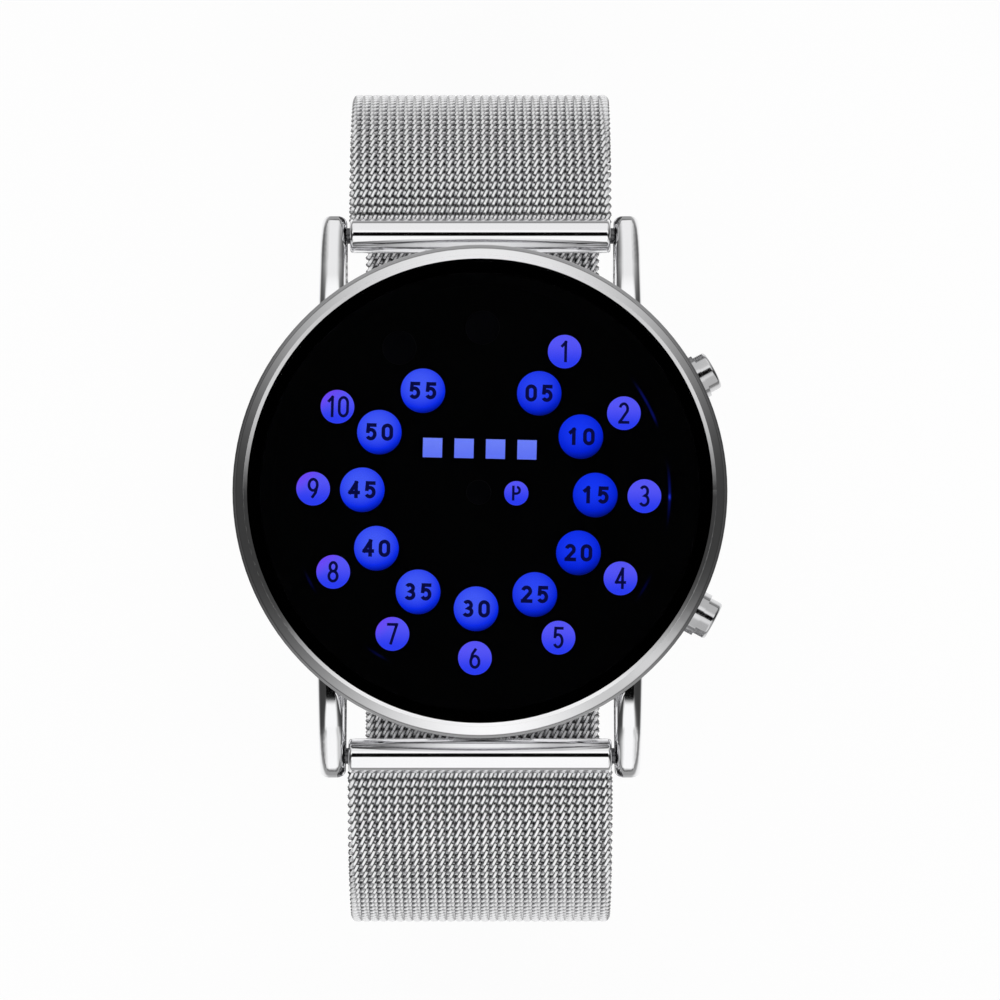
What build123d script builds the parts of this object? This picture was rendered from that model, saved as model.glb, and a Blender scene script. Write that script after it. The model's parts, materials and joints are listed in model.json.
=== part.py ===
from build123d import *
import math
import os

os.makedirs("parts", exist_ok=True)

# A wrist watch that shows the time with lit discs, standing on its closed mesh band.
# X points to 3 o'clock, Y to 12 o'clock and Z out of the dial.
# The origin is the centre of the clasp's flat underside, straight below the dial.

# Clearances
close_gap = 0.02
running_gap = 0.05
seat_gap = 0.1
free_gap = 0.3
overrun = 1.0

# Case
watch_height = 54.0
case_thickness = 10.0
bezel_radius = 20.0
body_inset = 0.7
body_foot_inset = 1.3
body_taper_height = 2.0
body_wall = 1.9
ledge_width = 2.4
ledge_thickness = 1.2

# Bezel
bezel_face_width = 1.22
bezel_slope_drop = 0.7
bezel_rim_width = 0.3
bezel_bulge = 0.06
bezel_seat_height = 0.5
bezel_seat_width = 1.0
bezel_skirt_depth = 0.8
bezel_skirt_inset = 1.2
bezel_skirt_wall = 0.6

# Crystal and its gasket
crystal_thickness = 1.5
crystal_drop = 0.1
crystal_chamfer = 0.15
crystal_gasket_thickness = 0.3

# Dial mask and its lit windows
mask_thickness = 0.3
mask_edge_gap = 0.1
mask_turn_angle = -1.3
mask_offset_x = -0.1
mask_offset_y = -0.12
hour_count = 12
hour_ring_share = 0.7585
hour_window_angle = 11.81
minute_count = 11
minute_ring_share = 0.5334
minute_window_angle = 22.26
square_count = 4
square_pitch_share = 0.2704
square_reach_share = 0.3765
half_day_count = 2
half_day_pitch_share = 0.3224
half_day_radius = 1.0
window_lip = 0.2

# Light well frame, lamps and circuit board
well_frame_height = 2.0
board_edge_gap = 0.5
board_thickness = 0.8
lamp_length = 1.0
lamp_width = 0.6
lamp_height = 0.4

# Parts under the circuit board
battery_edge_wall = 3.3
battery_chip_gap = 2.7
battery_sink = 0.6
battery_gap = 0.4
battery_rim_drop = 0.3
battery_rim_width = 1.2
contact_thickness = 0.15
contact_width = 3.0
contact_length = 8.0
cell_strap_thickness = 0.2
cell_strap_width = 4.0
cell_strap_tab = 2.0
chip_side = 5.0
chip_height = 0.9
chip_inset = 6.1
can_radius = 0.75
can_length = 6.0
can_inset = 4.7
can_shift = -2.0
pocket_gap = 0.3

# Case back
back_edge_step = 0.4
back_thickness = 1.0
back_chamfer = 0.3
back_boss_height = 0.6
back_boss_wall = 0.75
back_gasket_width = 0.5
back_gasket_depth = 0.3
back_screw_count = 4
back_screw_inset = 1.5
back_screw_radius = 0.5
back_screw_length = 1.5
back_screw_head_radius = 0.9
back_screw_head_height = 0.45
back_screw_sink = 0.05
back_screw_slot_width = 0.25
back_screw_slot_depth = 0.2

# Pushers, placed along a spoke of the case
pusher_angle = 28.5
pusher_drop = 6.0
pusher_travel = 0.6
collar_radius = 1.85
collar_wall = 0.18
collar_sink = 0.9
collar_stand = 0.65
collar_floor = 0.35
sleeve_radius = 1.2
sleeve_stand = 0.8
stem_radius = 0.6
stem_stand = 0.85
cap_length = 1.7
cap_stand = 1.1
cap_fillet = 0.25
clip_thickness = 0.2
clip_stand = 0.35
clip_opening_angle = 70
clip_groove_depth = 0.15
seal_depth = 0.85
seal_wire_radius = 0.15
pusher_spring_radius = 1.12
pusher_spring_wire_radius = 0.09
pusher_spring_turns = 3
leaf_width = 2.4
leaf_height = 1.9
leaf_foot = 1.0

# Lugs
lug_gap = 22.0
lug_width = 2.3
lug_tip_width = 2.05
lug_top_step = 0.5
lug_crest_step = 0.8
lug_crest_lead = 2.35
lug_nose_lead = 1.75
lug_nose_fall = 0.8
lug_heel_lead = 0.25
lug_heel_fall = 2.7
lug_bottom_lead = 3.85
lug_bottom_fall = 3.6
lug_edge_radius = 0.75

# Spring bars
bar_gap = 0.625
bar_drop = 5.2
bar_radius = 0.75
bar_wall = 0.15
bar_end_wall = 0.4
bar_tip_radius = 0.4
bar_tip_stand = 1.1
bar_tip_chamfer = 0.12
bar_flange_radius = 0.65
bar_flange_width = 0.23
bar_piston_length = 1.6
bar_spring_radius = 0.4
bar_spring_wire_radius = 0.09
bar_spring_pitch = 0.9

# Mesh band
band_thickness = 1.5
mesh_row_pitch = 0.75
mesh_groove_depth = 0.35
rib_flank_share = 0.25
band_exit_drop = 0.85
band_lead = 0.6375
loop_bulge = 13.75
side_lean = 0.85
flat_lead = 0.2
end_tube_radius = 1.425
end_tube_gap = 0.08
end_tube_fillet = 0.3
flex_gap = 0.3
flex_share = 0.45
tail_gap = 0.63
tail_cap_length = 1.5
tail_cap_wall = 0.15

# Clasp
clasp_length = 15.0
clasp_floor = 1.5
clasp_side_wall = 1.0
clasp_ear_wall = 0.4
clasp_corner_radius = 1.5
clasp_bridge_length = 1.4
clasp_bridge_thickness = 0.7
hinge_pin_radius = 0.4
knuckle_radius = 0.6
hinge_pin_gap = 0.04
plate_thickness = 0.6
flap_pin_inset = 3.0
flap_tooth_length = 0.8
flap_tooth_height = 0.45
lever_pin_inset = 1.0
lever_plate_length = 6.6
lever_side_inset = 2.7
lever_lip_thickness = 0.6
lever_lip_height = 1.9
end_bar_radius = 0.6
end_bar_gap = 0.65
holder_wall = 0.3
holder_end_wall = 1.05
holder_body_length = 2.5
holder_ear_width = 1.6
holder_ear_lead = 0.75

# Radii of the case and of what fits in it, worked out from the sizes above
body_radius = bezel_radius - body_inset
body_foot_radius = body_radius - body_foot_inset
cavity_radius = body_radius - body_wall
ledge_radius = cavity_radius - ledge_width
bezel_skirt_radius = body_radius - bezel_skirt_inset
crystal_radius = bezel_radius - bezel_face_width
crystal_gasket_width = bezel_seat_width - seat_gap - running_gap
mask_radius = crystal_radius - bezel_seat_width - seat_gap
holder_radius = cavity_radius - seat_gap
board_radius = cavity_radius - board_edge_gap
back_radius = body_foot_radius - back_edge_step
back_gasket_radius = ledge_radius + seat_gap + back_gasket_width
back_screw_ring_radius = ledge_radius + back_screw_inset

# Layout of the dial, worked out from its radius
hour_ring_radius = hour_ring_share * mask_radius
hour_window_radius = hour_ring_radius * math.sin(math.radians(hour_window_angle / 2))
minute_ring_radius = minute_ring_share * mask_radius
minute_window_radius = minute_ring_radius * math.sin(math.radians(minute_window_angle / 2))
square_pitch = square_pitch_share * minute_ring_radius
square_side = lamp_length + 2 * (window_lip + seat_gap)
square_reach = square_reach_share * minute_ring_radius
half_day_pitch = half_day_pitch_share * minute_ring_radius

# Levels of the case, worked out from the sizes above
case_bottom = watch_height - case_thickness
body_bottom = case_bottom + back_thickness
ledge_top = body_bottom + ledge_thickness
crystal_top = watch_height - crystal_drop
crystal_bottom = crystal_top - crystal_thickness
seat_top = crystal_bottom - crystal_gasket_thickness
bezel_bottom = seat_top - bezel_seat_height
mask_top = crystal_bottom - mask_edge_gap
mask_bottom = mask_top - mask_thickness
board_top = mask_bottom - well_frame_height
board_bottom = board_top - board_thickness
battery_top = board_bottom - battery_gap
battery_bottom = ledge_top - battery_sink
pusher_level = watch_height - pusher_drop

# Places of the parts under the circuit board
chip_reach = holder_radius - chip_inset
can_reach = holder_radius - can_inset
battery_left = battery_edge_wall - holder_radius
battery_right = chip_reach - chip_side / 2 - battery_chip_gap
battery_radius = (battery_right - battery_left) / 2
battery_shift = battery_left + battery_radius

# Pusher sizes along its spoke
collar_bore_radius = collar_radius - collar_wall
collar_start = body_radius - collar_sink
sleeve_end = cavity_radius - sleeve_stand
stem_end = sleeve_end - stem_stand
seal_start = collar_start - seal_depth
seal_groove_radius = stem_radius + 2 * seal_wire_radius + 2.5 * close_gap
clip_radius = stem_radius + clip_stand

# Lugs and spring bars
bar_level = watch_height - bar_drop
bar_reach = body_radius + end_tube_radius + bar_gap
bar_bore_radius = bar_radius - bar_wall
bar_tip_reach = lug_gap / 2 + bar_tip_stand
bar_tip_travel = bar_tip_stand + running_gap
bar_half_length = lug_gap / 2 - bar_flange_width - bar_tip_travel - 2 * running_gap
lug_hole_depth = bar_tip_stand + free_gap
lug_root_reach = math.sqrt(body_radius**2 - (lug_gap / 2 + lug_width) ** 2) - overrun
lug_nose_level = bar_level - lug_nose_fall

# Clasp
band_width = lug_gap - 2 * free_gap
half_band = band_thickness / 2
band_floor_level = clasp_floor + free_gap + half_band
pin_level = clasp_floor + 2 * free_gap + band_thickness + knuckle_radius
clasp_width = band_width + 2 * (free_gap + clasp_side_wall)
clasp_side_height = pin_level + hinge_pin_radius + clasp_ear_wall
lever_width = band_width - 2 * lever_side_inset
lever_lip_end = clasp_length / 2 - lever_pin_inset + lever_plate_length
end_bar_reach = lever_lip_end + end_bar_gap + end_bar_radius
holder_start = end_bar_reach + end_bar_radius + 2 * seat_gap
holder_slot_start = holder_start + holder_end_wall
band_end_reach = holder_slot_start + seat_gap
tail_reach = lever_lip_end - lever_lip_thickness - tail_gap - tail_cap_wall - close_gap

# Band levels and bends
loop_half_width = bar_reach + loop_bulge
middle_half_width = loop_half_width - half_band
flat_reach = band_end_reach + flat_lead
lead_start_reach = bar_reach + end_tube_radius / 2
shoulder_radius = middle_half_width - lead_start_reach - band_lead
corner_radius = middle_half_width - flat_reach - side_lean
band_exit_level = bar_level - band_exit_drop
widest_level = band_exit_level - shoulder_radius
side_rise = widest_level - band_floor_level - corner_radius
side_turn_angle = 2 * math.degrees(math.atan2(side_lean, side_rise))
side_radius = corner_radius + side_rise / math.sin(math.radians(side_turn_angle))
corner_turn_angle = 90 - side_turn_angle


# Basic shapes

def disc(radius, low, high):
    return Pos(0, 0, low) * Cylinder(radius, high - low, align=(Align.CENTER, Align.CENTER, Align.MIN))


def ring(outer, inner, low, high):
    return disc(outer, low, high) - disc(inner, low - overrun, high + overrun)


def turned(outline):
    return revolve(make_face(Plane.XZ * Polyline(*outline, close=True)), axis=Axis.Z)


def block(low_corner, high_corner):
    sizes = [high - low for low, high in zip(low_corner, high_corner)]
    return Pos(*low_corner) * Box(*sizes, align=(Align.MIN, Align.MIN, Align.MIN))


def rod_x(radius, low, high, reach, level):
    rod = Cylinder(radius, high - low, align=(Align.CENTER, Align.CENTER, Align.MIN))
    return Pos(low, reach, level) * Rot(0, 90, 0) * rod


def on_spoke(solid, side):
    return Rot(0, 0, side * pusher_angle) * solid


def other_end(solid):
    return mirror(solid, about=Plane.XZ)


def other_side(solid):
    return mirror(solid, about=Plane.YZ)


def spring_coil(wire_radius, radius, pitch, length):
    run = Helix(pitch=pitch, height=length - 2 * wire_radius, radius=radius)
    section = Plane(origin=run @ 0, z_dir=run % 0) * Circle(wire_radius)
    return Pos(0, 0, wire_radius) * sweep(section, path=run)


def save(name, solid):
    export_step(solid, "parts/" + name + ".step")


# Case body with its lugs

def lug_side_outline():
    bottom_level = bar_level - lug_bottom_fall
    root = (lug_root_reach, bezel_bottom - lug_top_step)
    crest = (bar_reach - lug_crest_lead, bezel_bottom - lug_crest_step)
    nose = (bar_reach + lug_nose_lead, lug_nose_level)
    heel = (bar_reach + lug_heel_lead, bar_level - lug_heel_fall)
    bottom = (bar_reach - lug_bottom_lead, bottom_level)
    bottom_root = (lug_root_reach, bottom_level)
    edges = [
        Line(root, crest),
        TangentArc(crest, nose, tangent=(crest[0] - root[0], crest[1] - root[1])),
        Line(nose, heel),
        Line(heel, bottom),
        Line(bottom, bottom_root),
        Line(bottom_root, root),
    ]
    return make_face(Curve() + edges)


def lug_plan_outline():
    inner = lug_gap / 2
    tip_reach = bar_reach + lug_nose_lead + running_gap
    outline = Polyline(
        (inner, 0),
        (inner + lug_width, 0),
        (inner + lug_width, lug_root_reach),
        (inner + lug_tip_width, tip_reach),
        (inner, tip_reach),
        close=True,
    )
    return make_face(outline.edges())


def lug_edge_is_upper(edge):
    above = edge.center().Z > lug_nose_level
    along = edge.bounding_box().size.Y > lug_tip_width
    return above and along


def lug():
    inner = lug_gap / 2
    side = Pos(inner, 0, 0) * extrude(Plane.YZ * lug_side_outline(), amount=lug_width)
    body = side & extrude(lug_plan_outline(), amount=watch_height)
    body = fillet(body.edges().filter_by(lug_edge_is_upper), lug_edge_radius)
    bar_hole = rod_x(bar_tip_radius + running_gap, 0, inner + lug_hole_depth, bar_reach, bar_level)
    return body - bar_hole


def case_body():
    shell = turned([
        (0, body_bottom),
        (body_foot_radius, body_bottom),
        (body_radius, body_bottom + body_taper_height),
        (body_radius, bezel_bottom),
        (0, bezel_bottom),
    ])
    one = lug()
    pair = one + other_side(one)
    shell = shell + pair + other_end(pair)
    shell = shell - disc(cavity_radius, ledge_top, bezel_bottom + overrun)
    shell = shell - disc(ledge_radius, body_bottom - overrun, ledge_top + overrun)
    skirt_seat = bezel_bottom - bezel_skirt_depth - close_gap
    shell = shell - disc(bezel_skirt_radius + close_gap, skirt_seat, bezel_bottom + overrun)
    for place in back_screw_places():
        shell = shell - place * disc(back_screw_radius + close_gap, case_bottom, ledge_top + overrun)
    for side in (1, -1):
        sleeve_hole = spoke_rod(sleeve_radius + close_gap, ledge_radius, bezel_radius)
        collar_hole = spoke_rod(collar_radius + close_gap, collar_start, bezel_radius + overrun)
        shell = shell - on_spoke(sleeve_hole + collar_hole, side)
    return shell


def back_screw_places():
    return PolarLocations(back_screw_ring_radius, back_screw_count, start_angle=360 / back_screw_count / 2)


def spoke_rod(radius, low, high):
    return rod_x(radius, low, high, 0, pusher_level)


# Bezel and crystal

def bezel():
    seat_radius = crystal_radius - bezel_seat_width
    recess_radius = crystal_radius + close_gap
    edge_top = watch_height - bezel_slope_drop
    rim_radius = recess_radius + bezel_rim_width
    skirt_bottom = bezel_bottom - bezel_skirt_depth
    skirt_inner = bezel_skirt_radius - bezel_skirt_wall
    slope_middle_radius = (bezel_radius + rim_radius) / 2 + bezel_bulge
    slope_middle_level = (edge_top + watch_height) / 2 + bezel_bulge
    slope = ThreePointArc(
        (bezel_radius, edge_top),
        (slope_middle_radius, slope_middle_level),
        (rim_radius, watch_height),
    )
    rest = Polyline(
        (rim_radius, watch_height),
        (recess_radius, watch_height - crystal_drop),
        (recess_radius, seat_top),
        (seat_radius, seat_top),
        (seat_radius, bezel_bottom),
        (skirt_inner, bezel_bottom),
        (skirt_inner, skirt_bottom),
        (bezel_skirt_radius, skirt_bottom),
        (bezel_skirt_radius, bezel_bottom),
        (bezel_radius, bezel_bottom),
        (bezel_radius, edge_top),
    )
    face = make_face(Plane.XZ * (slope + rest))
    return revolve(face, axis=Axis.Z)


def crystal():
    glass = disc(crystal_radius, crystal_bottom, crystal_top)
    return chamfer(glass.edges().group_by(Axis.Z)[-1], crystal_chamfer)


def crystal_gasket():
    outer = crystal_radius - seat_gap
    return ring(outer, outer - crystal_gasket_width, seat_top, crystal_bottom)


# Dial

def dial_place(x, y):
    return Pos(mask_offset_x, mask_offset_y, 0) * Rot(0, 0, mask_turn_angle) * Pos(x, y, 0)


def ring_places(count, step_angle, radius):
    places = []
    for number in range(1, count + 1):
        angle = math.radians(90 - number * step_angle)
        places.append(dial_place(radius * math.cos(angle), radius * math.sin(angle)))
    return places


def hour_places():
    return ring_places(hour_count, 360 / hour_count, hour_ring_radius)


def minute_places():
    return ring_places(minute_count, 360 / (minute_count + 1), minute_ring_radius)


def square_places():
    first = -(square_count - 1) / 2
    return [dial_place((first + index) * square_pitch, square_reach) for index in range(square_count)]


def half_day_places():
    return [dial_place(index * half_day_pitch, 0) for index in range(half_day_count)]


def window_cutters(shrink, low, high):
    half_square = square_side / 2 - shrink
    square = block((-half_square, -half_square, low), (half_square, half_square, high))
    cutters = [place * disc(hour_window_radius - shrink, low, high) for place in hour_places()]
    cutters += [place * disc(minute_window_radius - shrink, low, high) for place in minute_places()]
    cutters += [place * square for place in square_places()]
    cutters += [place * disc(half_day_radius - shrink, low, high) for place in half_day_places()]
    return Compound(cutters)


def dial_mask():
    plate = disc(mask_radius, mask_bottom, mask_top)
    return plate - window_cutters(0, mask_bottom - overrun, mask_top + overrun)


def round_windows(places, radius):
    pane = disc(radius - close_gap, mask_bottom, mask_top)
    return Compound([place * pane for place in places])


def minute_squares():
    half_side = square_side / 2 - close_gap
    pane = block((-half_side, -half_side, mask_bottom), (half_side, half_side, mask_top))
    return Compound([place * pane for place in square_places()])


def light_well_frame():
    plate = disc(holder_radius, board_top, mask_bottom)
    return plate - window_cutters(window_lip, board_top - overrun, mask_bottom + overrun)


# Movement

def leds():
    lamp = block(
        (-lamp_length / 2, -lamp_width / 2, board_top),
        (lamp_length / 2, lamp_width / 2, board_top + lamp_height),
    )
    places = hour_places() + minute_places() + square_places() + half_day_places()
    return Compound([place * lamp for place in places])


def circuit_board():
    return disc(board_radius, board_bottom, board_top)


def controller_chip():
    half_side = chip_side / 2
    return block(
        (chip_reach - half_side, -half_side, board_bottom - chip_height),
        (chip_reach + half_side, half_side, board_bottom),
    )


def timing_crystal():
    start = can_shift - can_length / 2
    return rod_x(can_radius, start, start + can_length, can_reach, board_bottom - can_radius)


def battery():
    cell = disc(battery_radius, battery_bottom, battery_top)
    step = ring(
        battery_radius + overrun,
        battery_radius - battery_rim_width,
        battery_top - battery_rim_drop,
        battery_top + overrun,
    )
    return Pos(battery_shift, 0, 0) * (cell - step)


def battery_contact():
    tab = contact_length / 3
    root = battery_shift + contact_length / 2
    low = battery_top
    outline = Polyline(
        (root, board_bottom),
        (root - tab, board_bottom),
        (root - 2 * tab, low + contact_thickness),
        (root - contact_length, low + contact_thickness),
        (root - contact_length, low),
        (root - 2 * tab, low),
        (root - tab, board_bottom - contact_thickness),
        (root, board_bottom - contact_thickness),
        close=True,
    )
    return extrude(make_face(Plane.XZ * outline), amount=contact_width / 2, both=True)


def battery_strap():
    lift = ledge_top - battery_bottom
    inner = battery_radius + seat_gap
    outer = inner + cell_strap_thickness
    low = battery_bottom - cell_strap_thickness
    high = battery_bottom + lift
    half_width = cell_strap_width / 2
    sole = block((-half_width, -outer, low), (half_width, outer, battery_bottom))
    strap = sole
    for side in (1, -1):
        wall = block((-half_width, inner, low), (half_width, outer, high))
        tab = block(
            (-half_width, inner, high - cell_strap_thickness),
            (half_width, outer + cell_strap_tab, high),
        )
        arm = wall + tab
        strap = strap + (arm if side == 1 else other_end(arm))
    return Pos(battery_shift, 0, 0) * strap


def movement_holder():
    holder = disc(holder_radius, ledge_top, board_bottom)
    low = ledge_top - overrun
    high = board_bottom + overrun
    pocket_radius = battery_radius + cell_strap_thickness + 2 * seat_gap
    holder = holder - Pos(battery_shift, 0, 0) * disc(pocket_radius, low, high)
    half_chip = chip_side / 2 + pocket_gap
    holder = holder - block(
        (chip_reach - half_chip, -half_chip, board_bottom - chip_height - pocket_gap),
        (chip_reach + half_chip, half_chip, high),
    )
    half_can = can_length / 2 + pocket_gap
    can_half_width = can_radius + pocket_gap
    holder = holder - block(
        (can_shift - half_can, can_reach - can_half_width, board_bottom - 2 * can_half_width),
        (can_shift + half_can, can_reach + can_half_width, high),
    )
    leaf_start = leaf_face() - contact_thickness - leaf_foot - pocket_gap
    half_pocket = leaf_width / 2 + pocket_gap
    spoke_pocket = block((leaf_start, -half_pocket, low), (body_radius, half_pocket, high))
    for side in (1, -1):
        holder = holder - on_spoke(spoke_pocket, side)
    return holder


# Case back

def case_back():
    plate = disc(back_radius, case_bottom, body_bottom)
    plate = chamfer(plate.edges().group_by(Axis.Z)[0], back_chamfer)
    boss_radius = ledge_radius - running_gap
    boss_low = (case_bottom + body_bottom) / 2
    boss = ring(boss_radius, boss_radius - back_boss_wall, boss_low, body_bottom + back_boss_height)
    plate = plate + boss
    groove = ring(
        back_gasket_radius + close_gap,
        back_gasket_radius - back_gasket_width - close_gap,
        body_bottom - back_gasket_depth - close_gap,
        body_bottom + overrun,
    )
    plate = plate - (groove - disc(boss_radius, body_bottom, body_bottom + 2 * overrun))
    low = case_bottom - overrun
    head_seat = case_bottom + back_screw_sink + back_screw_head_height
    for place in back_screw_places():
        plate = plate - place * disc(back_screw_radius + close_gap, low, body_bottom + overrun)
        plate = plate - place * disc(back_screw_head_radius + close_gap, low, head_seat)
    return plate


def case_back_gasket():
    return ring(
        back_gasket_radius,
        back_gasket_radius - back_gasket_width,
        body_bottom - back_gasket_depth,
        body_bottom,
    )


def case_back_screws():
    head_low = case_bottom + back_screw_sink
    head_high = head_low + back_screw_head_height
    screw = disc(back_screw_head_radius, head_low, head_high)
    screw = screw + disc(back_screw_radius, head_low, head_high + back_screw_length)
    half_slot = back_screw_slot_width / 2
    slot = block(
        (-back_screw_head_radius - overrun, -half_slot, head_low - overrun),
        (back_screw_head_radius + overrun, half_slot, head_low + back_screw_slot_depth),
    )
    screw = screw - slot
    return Compound([place * screw for place in back_screw_places()])


# Pushers

def collar_end():
    return bezel_radius + collar_stand


def cap_end():
    return collar_end() + cap_stand


def leaf_face():
    return stem_end - pusher_travel - running_gap


def pusher_tube():
    tube = spoke_rod(collar_radius, collar_start, collar_end())
    tube = tube + spoke_rod(sleeve_radius, sleeve_end, collar_start)
    tube = tube - spoke_rod(collar_bore_radius, collar_start + collar_floor, bezel_radius + 2 * overrun)
    tube = tube - spoke_rod(stem_radius + running_gap, sleeve_end - overrun, bezel_radius)
    seal_width = 2 * seal_wire_radius + close_gap
    return tube - spoke_rod(seal_groove_radius, seal_start, seal_start + seal_width)


def pusher():
    cap_radius = collar_bore_radius - running_gap
    cap = spoke_rod(cap_radius, cap_end() - cap_length, cap_end())
    cap = fillet(cap.edges().group_by(Axis.X)[-1], cap_fillet)
    pushing = cap + spoke_rod(stem_radius, stem_end, cap_end() - cap_length)
    groove_low = sleeve_end - clip_thickness - 2 * close_gap
    groove = spoke_rod(stem_radius + overrun, groove_low, sleeve_end)
    groove = groove - spoke_rod(stem_radius - clip_groove_depth, groove_low - overrun, sleeve_end + overrun)
    return pushing - groove


def retaining_clip():
    low = sleeve_end - clip_thickness - close_gap
    high = sleeve_end - close_gap
    clip = spoke_rod(clip_radius, low, high)
    clip = clip - spoke_rod(stem_radius - clip_groove_depth + close_gap, low - overrun, high + overrun)
    half_mouth = clip_radius * math.sin(math.radians(clip_opening_angle / 2))
    mouth = block(
        (low - overrun, -half_mouth, pusher_level - clip_radius - overrun),
        (high + overrun, half_mouth, pusher_level),
    )
    return clip - mouth


def pusher_seal():
    middle = stem_radius + 2 * close_gap + seal_wire_radius
    seal = Torus(middle, seal_wire_radius)
    return Pos(seal_start + seal_wire_radius + close_gap / 2, 0, pusher_level) * Rot(0, 90, 0) * seal


def pusher_spring():
    low = collar_start + collar_floor + close_gap
    high = cap_end() - cap_length - close_gap
    pitch = (high - low - 2 * pusher_spring_wire_radius) / pusher_spring_turns
    coil = spring_coil(pusher_spring_wire_radius, pusher_spring_radius, pitch, high - low)
    return Pos(low, 0, pusher_level) * Rot(0, 90, 0) * coil


def switch_contacts():
    face = leaf_face()
    half_width = leaf_width / 2
    leaf = block(
        (face - contact_thickness, -half_width, board_bottom - leaf_height),
        (face, half_width, board_bottom),
    )
    foot = block(
        (face - contact_thickness - leaf_foot, -half_width, board_bottom - contact_thickness),
        (face, half_width, board_bottom),
    )
    return Compound([on_spoke(leaf + foot, side) for side in (1, -1)])


# Spring bars, drawn at the 12 o'clock lugs

def bar_barrel():
    barrel = rod_x(bar_radius, -bar_half_length, bar_half_length, bar_reach, bar_level)
    inner_half = bar_half_length - bar_end_wall
    barrel = barrel - rod_x(bar_bore_radius, -inner_half, inner_half, bar_reach, bar_level)
    neck_radius = bar_tip_radius + running_gap
    past_end = bar_half_length + overrun
    return barrel - rod_x(neck_radius, -past_end, past_end, bar_reach, bar_level)


def bar_tip():
    flange_outer = lug_gap / 2 - running_gap
    piston_outer = bar_half_length - bar_end_wall - seat_gap
    tip = rod_x(bar_tip_radius, piston_outer - bar_piston_length, bar_tip_reach, bar_reach, bar_level)
    tip = chamfer(tip.edges().group_by(Axis.X)[-1], bar_tip_chamfer)
    tip = tip + rod_x(bar_flange_radius, flange_outer - bar_flange_width, flange_outer, bar_reach, bar_level)
    piston_radius = bar_bore_radius - running_gap
    return tip + rod_x(piston_radius, piston_outer - bar_piston_length, piston_outer, bar_reach, bar_level)


def bar_spring():
    half_length = bar_half_length - bar_end_wall - seat_gap - bar_piston_length - close_gap
    coil = spring_coil(bar_spring_wire_radius, bar_spring_radius, bar_spring_pitch, 2 * half_length)
    return Pos(-half_length, bar_reach, bar_level) * Rot(0, 90, 0) * coil


# Band, drawn on the 12 o'clock side. A travel is a distance along its middle line.

band_runs = [
    (band_lead, 0, 0),
    (math.radians(90) * shoulder_radius, shoulder_radius, 90),
    (math.radians(side_turn_angle) * side_radius, side_radius, side_turn_angle),
    (math.radians(corner_turn_angle) * corner_radius, corner_radius, corner_turn_angle),
    (2 * flat_reach, 0, 0),
]
flex_travels = [
    band_runs[0][0] + band_runs[1][0],
    band_runs[0][0] + band_runs[1][0] + band_runs[2][0] + flex_share * band_runs[3][0],
]
flat_travel = sum(run[0] for run in band_runs[:4])


def band_point(travel, lift=0):
    reach = lead_start_reach
    level = band_exit_level
    heading = 0
    left = travel
    for length, radius, turn in band_runs:
        step = min(left, length)
        start = math.radians(heading)
        if radius == 0:
            reach = reach + step * math.cos(start)
            level = level + step * math.sin(start)
        else:
            centre_reach = reach + radius * math.sin(start)
            centre_level = level - radius * math.cos(start)
            heading = heading - turn * step / length
            end = math.radians(heading)
            reach = centre_reach - radius * math.sin(end)
            level = centre_level + radius * math.cos(end)
        left = left - step
        if left <= 0:
            break
    direction = math.radians(heading)
    place = (reach - lift * math.sin(direction), level + lift * math.cos(direction))
    return place, direction


def band_line(start, end, side):
    # one rounded rib for each row of wire, with a flat landing at both ends
    count = max(2, round((end - start) / mesh_row_pitch))
    pitch = (end - start) / count
    crest = side * half_band
    flank = side * (half_band - mesh_groove_depth * rib_flank_share)
    groove = side * (half_band - mesh_groove_depth)
    edges = [Line(band_point(start, crest)[0], band_point(start + pitch / 2, crest)[0])]
    for row in range(count):
        low = start + row * pitch
        middle = low + pitch / 2
        high = low + pitch
        if row == 0:
            stops = [(middle, crest), (middle + pitch / 4, flank), (high, groove)]
        elif row == count - 1:
            stops = [(low, groove), (middle - pitch / 4, flank), (middle, crest)]
        else:
            stops = [(low, groove), (middle, crest), (high, groove)]
        edges.append(ThreePointArc(*[band_point(travel, lift)[0] for travel, lift in stops]))
    edges.append(Line(band_point(end - pitch / 2, crest)[0], band_point(end, crest)[0]))
    return edges


def band_cap(travel, ahead):
    centre, direction = band_point(travel)
    step = ahead * half_band
    tip = (centre[0] + step * math.cos(direction), centre[1] + step * math.sin(direction))
    return ThreePointArc(band_point(travel, half_band)[0], tip, band_point(travel, -half_band)[0])


def band_face(start, end, round_start, round_end):
    edges = band_line(start, end, 1) + band_line(start, end, -1)
    start_line = Line(band_point(start, half_band)[0], band_point(start, -half_band)[0])
    end_line = Line(band_point(end, half_band)[0], band_point(end, -half_band)[0])
    edges.append(band_cap(start, -1) if round_start else start_line)
    edges.append(band_cap(end, 1) if round_end else end_line)
    return make_face(Curve() + edges)


def band_piece(start, end, round_start, round_end):
    face = Plane.YZ * band_face(start, end, round_start, round_end)
    return extrude(face, amount=band_width / 2, both=True)


def end_tube():
    half = band_width / 2
    tube = rod_x(end_tube_radius, -half, half, bar_reach, bar_level)
    tube = fillet(tube.edges().filter_by(GeomType.CIRCLE), end_tube_fillet)
    bore = rod_x(bar_radius + end_tube_gap, -half - overrun, half + overrun, bar_reach, bar_level)
    return tube - bore


def band_shoulder():
    flex_inset = flex_gap / 2 + half_band
    half = band_width / 2
    piece = band_piece(0, flex_travels[0] - flex_inset, False, True)
    return piece - rod_x(end_tube_radius + close_gap, -half - overrun, half + overrun, bar_reach, bar_level)


def band_side():
    flex_inset = flex_gap / 2 + half_band
    return band_piece(flex_travels[0] + flex_inset, flex_travels[1] - flex_inset, True, True)


def band_lower(end_reach):
    flex_inset = flex_gap / 2 + half_band
    end_travel = flat_travel + flat_reach - end_reach
    return band_piece(flex_travels[1] + flex_inset, end_travel, True, False)


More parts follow.
